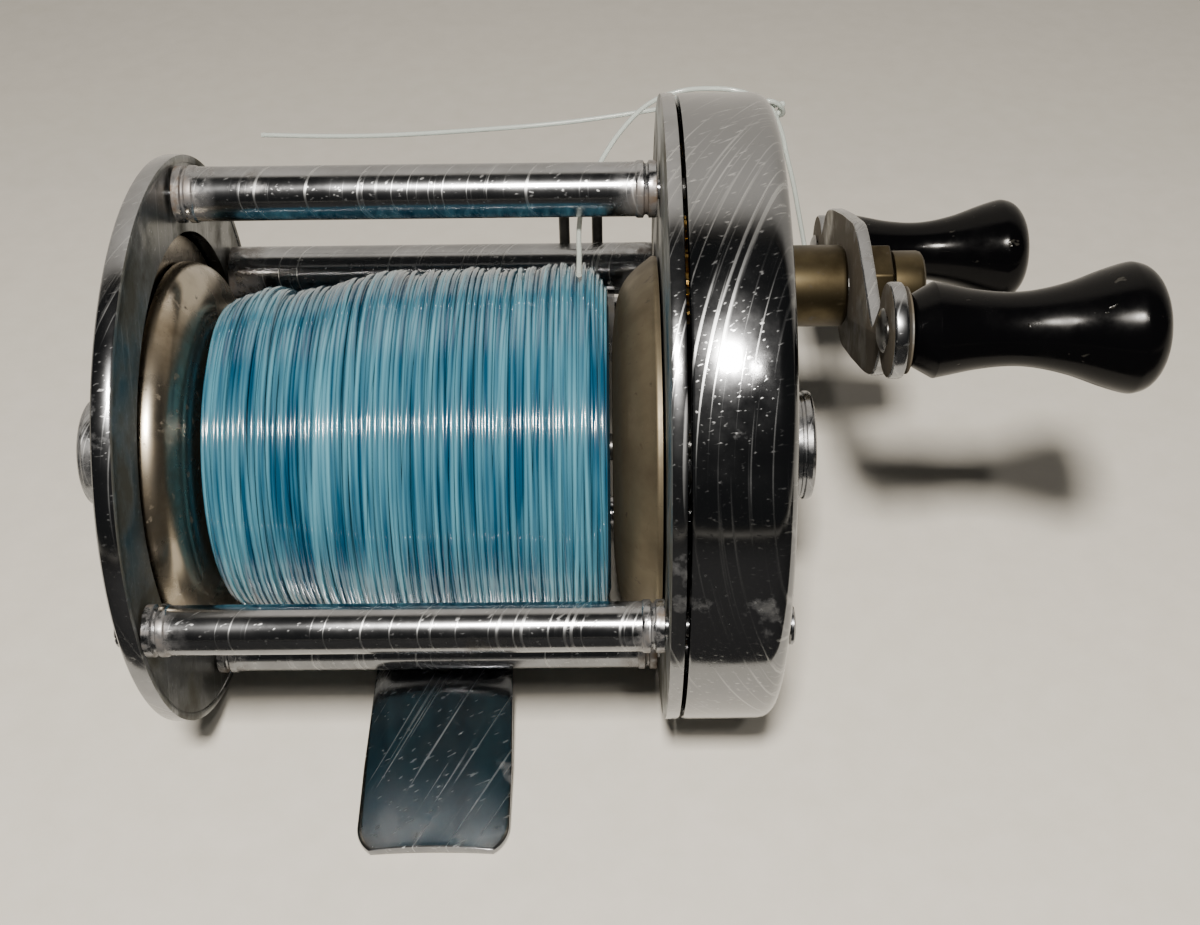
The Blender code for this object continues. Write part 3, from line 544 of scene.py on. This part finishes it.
def wound(name, places, lift, sides=2):
    """Strands around the spool: places are the x of each quarter turn, in millimetres."""
    route = []
    for (i, x), after in zip(enumerate(places), places[1:]):
        for part in range(11):
            turn = math.tau * (i + part / 11) / 4
            at = x + (after - x) * part / 11
            r = crest(at) - lift + 0.05 * math.sin(2.3 * turn + at)
            route.append((at, r * math.cos(turn), 30.0 + r * math.sin(turn)))
    piece = wire(name, route, 0.28, sides)
    bpy.ops.object.select_all(action="DESELECT")
    piece.select_set(True)
    bpy.context.view_layer.objects.active = piece
    bpy.ops.object.convert(target="MESH")
    piece = bpy.context.object
    bpy.ops.object.shade_smooth()
    put_on(piece, blue_nylon, "spool", "blue_line")


def wander(start, end, turns, wobble):
    """Quarter-turn places from one flange towards the other, uneven by up to a wobble."""
    count = int(turns * 4)
    drift = 0.0
    places = []
    for i in range(count + 1):
        drift = 0.75 * drift + random.uniform(-wobble, wobble)
        places.append(min(19.7, max(-21.2, start + (end - start) * i / count + drift)))
    return places


wound("close_turns", wander(-21.2, 19.7, 72, 0.05), 0.75)
wound("upper_turns", wander(19.6, -21.0, 50, 0.22), 0.42)
wound("loose_turns", wander(-20.6, 19.4, 22, 0.7), 0.28)
wound("crossing_turns", wander(19.0, -19.6, 9, 0.5), 0.28)


# The steel spindle runs through the spool from cap to cap and carries the brass pinion at the
# crank side and the click's star wheel at the tail side, both out of sight in the housings.
# cut_brass, bearing_bronze and plain_steel give the hidden works their plain finishes.
cut_brass = nickel("cut_brass", "c9a765", "8d6f3b", 0.30)
bearing_bronze = nickel("bearing_bronze", "a9784c", "6f4b30", 0.36)
plain_steel = nickel("plain_steel", "a4a4a3", "6f6f6e", 0.26)
spindle = section("steel_spindle", [(-36.3, 0.0), (-36.3, 1.2), (-36.0, 1.5), (40.5, 1.5),
                                    (40.8, 1.2), (40.8, 0.0)], spool_axis, steps=40)
put_on(spindle, plain_steel, "spool", "steel", "spool_spindle")
hidden = {cut_brass: ("spool_pinion", "click_gear", "drive_gear", "worm_pinion", "worm_gear",
                      "level_wind_pawl"),
          bearing_bronze: ("tail_bearing_bush", "head_bearing_bush", "worm_bush_tail",
                           "worm_bush_head"),
          plain_steel: ("click_pawl", "click_spring", "foot_screw_rear", "foot_screw_front",
                        "crank_shaft", "worm_shaft")}
for material, names in hidden.items():
    for name in names:
        nodes[name].data.materials.clear()
        nodes[name].data.materials.append(material)


# The click's button slides a short way in front of the hub on the tail plate, on a stem that
# passes through the plate to the pawl.
button = section("click_slide_button", [
    (-33.4, 0.0), (-33.4, 1.7), (-33.3, 2.0), (-33.05, 2.25), (-31.6, 2.3), (-31.4, 2.2),
    (-31.3, 2.0), (-31.3, 0.7), (-28.5, 0.7), (-28.5, 0.0)], (-12.7, 30.0), steps=56)
put_on(button, cap_chrome, "click", "chrome", "click_button")


# The crank is a flat, S-shaped bar of chromed steel with a wide hub and a rounded eye at each
# end, held on its boss by a hexagonal nut and a plain cap. Its edges are rubbed bright and its
# inner side is dark with dried oil.
lean = math.radians(155.6)
throw = 25.95


def ring(centre, radius, start, sweep, count):
    """Points (a, b) along an arc, both ends included, in degrees."""
    turns = [math.radians(start + sweep * i / (count - 1)) for i in range(count)]
    return [(centre[0] + radius * math.cos(t), centre[1] + radius * math.sin(t)) for t in turns]


def slab(name, outline, low, high, edge, segments=3):
    """A flat piece between two X planes from its (y, z) outline, with rounded edges."""
    bpy.ops.object.select_all(action="DESELECT")
    bpy.ops.mesh.primitive_plane_add(size=0.001)
    piece = bpy.context.object
    piece.name = name
    bpy.ops.object.mode_set(mode="EDIT")
    bpy.ops.mesh.select_all(action="SELECT")
    bpy.ops.mesh.merge(type="CENTER")
    y, z = outline[0]
    bpy.ops.transform.translate(value=(low * MM, y * MM, z * MM))
    for next_y, next_z in outline[1:] + outline[:1]:
        step = (0.0, (next_y - y) * MM, (next_z - z) * MM)
        bpy.ops.mesh.extrude_region_move(TRANSFORM_OT_translate={"value": step})
        y, z = next_y, next_z
    bpy.ops.mesh.select_all(action="SELECT")
    bpy.ops.mesh.remove_doubles(threshold=0.000005)
    bpy.ops.mesh.edge_face_add()
    bpy.ops.mesh.extrude_region_move(
        TRANSFORM_OT_translate={"value": ((high - low) * MM, 0.0, 0.0)})
    bpy.ops.mesh.select_all(action="SELECT")
    bpy.ops.mesh.normals_make_consistent(inside=False)
    bpy.ops.object.mode_set(mode="OBJECT")
    rounding = piece.modifiers.new("rounding", "BEVEL")
    rounding.width = edge * MM
    rounding.segments = segments
    rounding.angle_limit = math.radians(50)
    bpy.ops.object.modifier_apply(modifier="rounding")
    bpy.ops.object.shade_smooth_by_angle(angle=math.radians(35))
    return piece


inner = [(p.x, p.y) for p in smooth_route([
    (-0.6, 7.6, 0), (3.2, 7.5, 0), (6.3, 6.2, 0), (9.8, 3.9, 0), (13.2, 1.4, 0),
    (16.8, -1.1, 0), (20.2, -1.9, 0)], 5)]
outer = [(p.x, p.y) for p in smooth_route([
    (21.8, -3.6, 0), (18.4, -6.2, 0), (13.8, -7.1, 0), (9.0, -7.4, 0), (4.6, -7.6, 0)], 5)]
# The eye's arc starts before the inner curve's last points and ends past the outer's first.
half = inner[:-4] + ring((throw, 0.0), 4.75, 160.0, -302.0, 49) + outer[3:]
bar = half + [(-a, -b) for a, b in half]
bar = [(crank_axis[0] + a * math.cos(lean) + b * math.sin(lean),
        crank_axis[1] + a * math.sin(lean) - b * math.cos(lean)) for a, b in bar]
arm = slab("crank_bar", bar, 47.3, 48.8, 0.35)
near, far = ((crank_axis[0] + reach * math.cos(lean), crank_axis[1] + reach * math.sin(lean))
             for reach in (throw, -throw))
for axis, radius in ((crank_axis, 2.1), (near, 1.5), (far, 1.5)):
    bore(arm, axis, radius, 46.0, 50.0)
crank_chrome = chrome("crank_chrome", 0.16, 0.10)
oily_chrome = chrome("oily_chrome", 0.38, 0.36, "4e473b", "8a877e")
put_on(arm, crank_chrome, "crank", "chrome", "crank_arm")
paint_faces(arm, oily_chrome, lambda c, n: n.x < -0.9)

# brassy_nickel gives the boss, nut and cap their brown, worn plating with gold glints.
brassy_nickel = nickel("brassy_nickel", "514937", "30291c", 0.38)
boss = section("crank_boss", [
    (34.4, 2.6), (34.4, 6.4), (35.7, 6.4), (35.7, 4.6), (35.75, 4.65), (46.3, 4.65),
    (46.6, 4.55), (46.9, 4.2), (46.9, 2.6), (34.4, 2.6)], crank_axis, steps=96)
put_on(boss, brassy_nickel, "root", "dull_nickel", "crank_bush")
hexagon = ring(crank_axis, 4.7, 12.0, 300.0, 6)
nut = slab("crank_hex_nut", hexagon, 49.1, 52.0, 0.25)
bore(nut, crank_axis, 2.1, 48.0, 53.0)
put_on(nut, brassy_nickel, "crank", "dull_nickel", "crank_nut")
cap = section("crank_nut_cap", [
    (54.9, 0.0), (54.9, 1.3), (52.3, 1.3), (52.3, 3.85), (52.35, 3.9), (55.1, 3.9),
    (55.5, 3.75), (55.75, 3.4), (55.8, 2.9), (55.8, 0.0)], crank_axis, steps=72)
put_on(cap, brassy_nickel, "crank", "dull_nickel", "crank_cap")


# Each knob is turned black plastic, waisted and flared to a domed end, and spins on a headed
# steel pin with a thin washer behind it. The gloss is broken by small chips and fine scuffs.
# glossy_black gives a deep black with sharp highlights and a few grey nicks.
glossy_black, tree, shader = finish("glossy_black", IOR=1.30, Specular_IOR_Level=0.25)
nicks = band(tree, speckle(tree, 700, 2.0, (0.6, 1.0, 1.0)), 0.70, 0.74)
scuffs = band(tree, speckle(tree, 260, 6.0), 0.40, 0.75, 0.13, 0.32)
tree.links.new(blend(tree, nicks, linear("040405"), linear("2a2926")),
               shader.inputs["Base Color"])
tree.links.new(scuffs, shader.inputs["Roughness"])
dents = add(tree, "ShaderNodeBump", {"Strength": 0.35, "Distance": 0.0001,
                                     "Height": nicks}, invert=True)
tree.links.new(dents.outputs[0], shader.inputs["Normal"])
waist = smooth_route([(52.9, 0, 4.55), (56.0, 0, 3.95), (59.2, 0, 3.65), (62.0, 0, 3.85),
                      (65.2, 0, 4.6), (68.2, 0, 5.7), (70.4, 0, 6.38), (71.4, 0, 6.45),
                      (72.6, 0, 6.0), (73.6, 0, 4.9), (74.2, 0, 3.2), (74.4, 0, 0.0)], 5)
for name, axis in (("near_knob", near), ("far_knob", far)):
    knob = section(name + "_grip", [(70.5, 0.0), (70.5, 1.5), (49.6, 1.5), (49.6, 3.3),
                                    (49.7, 3.55), (49.95, 3.7), (51.7, 4.7), (51.85, 4.75)]
                   + [(p.x, p.z) for p in waist], axis, steps=128, smooth=24.0)
    put_on(knob, glossy_black, name, "black_plastic", name)
    pin = section(name + "_headed_pin", [
        (46.5, 0.0), (46.5, 1.3), (46.65, 1.75), (46.85, 2.1), (47.0, 2.2), (47.05, 2.1),
        (47.05, 1.2), (70.0, 1.2), (70.0, 0.0)], axis, steps=48)
    put_on(pin, plain_steel, "crank", "steel", name + "_pin")
    washer = section(name + "_thin_washer", [(49.05, 1.5), (49.05, 4.2), (49.1, 4.3),
                                             (49.25, 4.3), (49.3, 4.2), (49.3, 1.5),
                                             (49.05, 1.5)], axis, steps=72)
    put_on(washer, oily_chrome, "crank", "steel", name + "_washer")


# Behind the spool the level wind lays the line: a chromed tube slotted underneath holds the
# worm, and below it a rod guides the carriage, which carries an upright loop of dark wire.
slot = ring(worm_axis, 3.1, -70.0, 320.0, 65) + ring(worm_axis, 2.5, 250.0, -320.0, 65)
tube = slab("level_wind_tube", slot, -25.2, 25.2, 0.06, 1)
put_on(tube, pillar_chrome, "root", "chrome", "worm_tube")
rod = section("carriage_guide_rod", [(-25.2, 0.0), (-25.2, 1.2), (-25.1, 1.3), (25.1, 1.3),
                                     (25.2, 1.2), (25.2, 0.0)], (28.6, 28.8), steps=40)
put_on(rod, pillar_chrome, "root", "chrome", "guide_rod")
for name in ("carriage", "pawl_cap"):
    nodes[name].data.materials.clear()
    nodes[name].data.materials.append(screw_chrome)
# dark_wire gives the guide loop a browned, oily steel.
dark_wire = nickel("dark_wire", "4a4a48", "2c2a27", 0.32, 0.9)
loop = [(2.0 * math.cos(math.pi * i / 24), 45.0 + 2.0 * math.sin(math.pi * i / 24))
        for i in range(25)]
loop = [(2.0, 35.4)] + loop + [(-2.0, 35.4)]
guide = wire("line_guide_loop", [(16.7 + dx, 30.2, z) for dx, z in loop], 0.65, 5)
put_on(guide, dark_wire, "carriage", "dark_wire", "line_guide")


# The table top is plain and pale. A soft studio lamp stands high in front of the reel, with a
# smaller one behind it on the right for the sparkle on the chrome.
table_paint, tree, shader = finish("table_paint", Roughness=0.75)
mottle = band(tree, speckle(tree, 220, 6.0), 0.3, 0.7)
tree.links.new(blend(tree, mottle, linear("cbc7bd"), linear("d1cdc4")),
               shader.inputs["Base Color"])
bpy.ops.mesh.primitive_plane_add(size=2.0, location=(0.0, 0.0, 0.0))
table = bpy.context.object
table.name = "table"
table.data.materials.append(table_paint)


# Two studio cards are seen only in the shiny pieces, as painted reflections. The dark one on the
# table in front is painted shade: it stands for the table in shadow in front of the reel and turns
# the chrome black where it faces the angler. The pale one standing behind the reel paints a pale
# reflection on the top of the plates and the housing.
def studio_card(name, size, place, tilt, colour):
    """A rectangle that hides nothing, takes no light and shows in reflections alone."""
    bpy.ops.object.select_all(action="DESELECT")
    bpy.ops.mesh.primitive_plane_add(size=1.0, location=place, rotation=(tilt, 0.0, 0.0))
    card = bpy.context.object
    card.name = name
    card.scale = (*size, 1.0)
    bpy.ops.object.transform_apply(location=True, rotation=True, scale=True)
    paint, tree, shader = finish(name + "_paint", Base_Color=linear(colour), Roughness=0.8)
    card.data.materials.append(paint)
    card.visible_camera = False
    card.visible_diffuse = False
    card.visible_shadow = False
    return card


# Painted shade: a dark card seen only in reflections, standing for the shaded table in front.
dark_card = studio_card("dark_card", (0.5, 0.38), (0.02, -0.236, 0.0004), 0.0, "0c0c0d")
# Painted reflection: a pale card seen only in reflections, standing in for a pale wall behind the
# reel.
pale_card = studio_card("pale_card", (1.6, 0.9), (0.0, 0.108, 0.45), math.pi / 2, "bdbbb7")


aim_point = Vector((10.0, 0.0, 30.0))


def lamp(name, place, size, power):
    """A square soft lamp aimed at the reel; place and size in millimetres."""
    data = bpy.data.lights.new(name, "AREA")
    data.size = size * MM
    data.energy = power
    data.color = linear("fff8ee")[:3]
    light = bpy.data.objects.new(name, data)
    light.location = Vector(place) * MM
    aim = aim_point * MM - light.location
    light.rotation_euler = aim.to_track_quat("-Z", "Y").to_euler()
    bpy.context.scene.collection.objects.link(light)


lamp("soft_lamp", (4.0, -230.0, 362.0), 46.0, 3.7)
lamp("small_lamp", (90.0, -365.0, 500.0), 22.0, 0.5)
world = bpy.data.worlds.new("room")
world.use_nodes = True
background = world.node_tree.nodes["Background"]
background.inputs["Color"].default_value = linear("8f8f8e")
background.inputs["Strength"].default_value = 0.12
bpy.context.scene.world = world
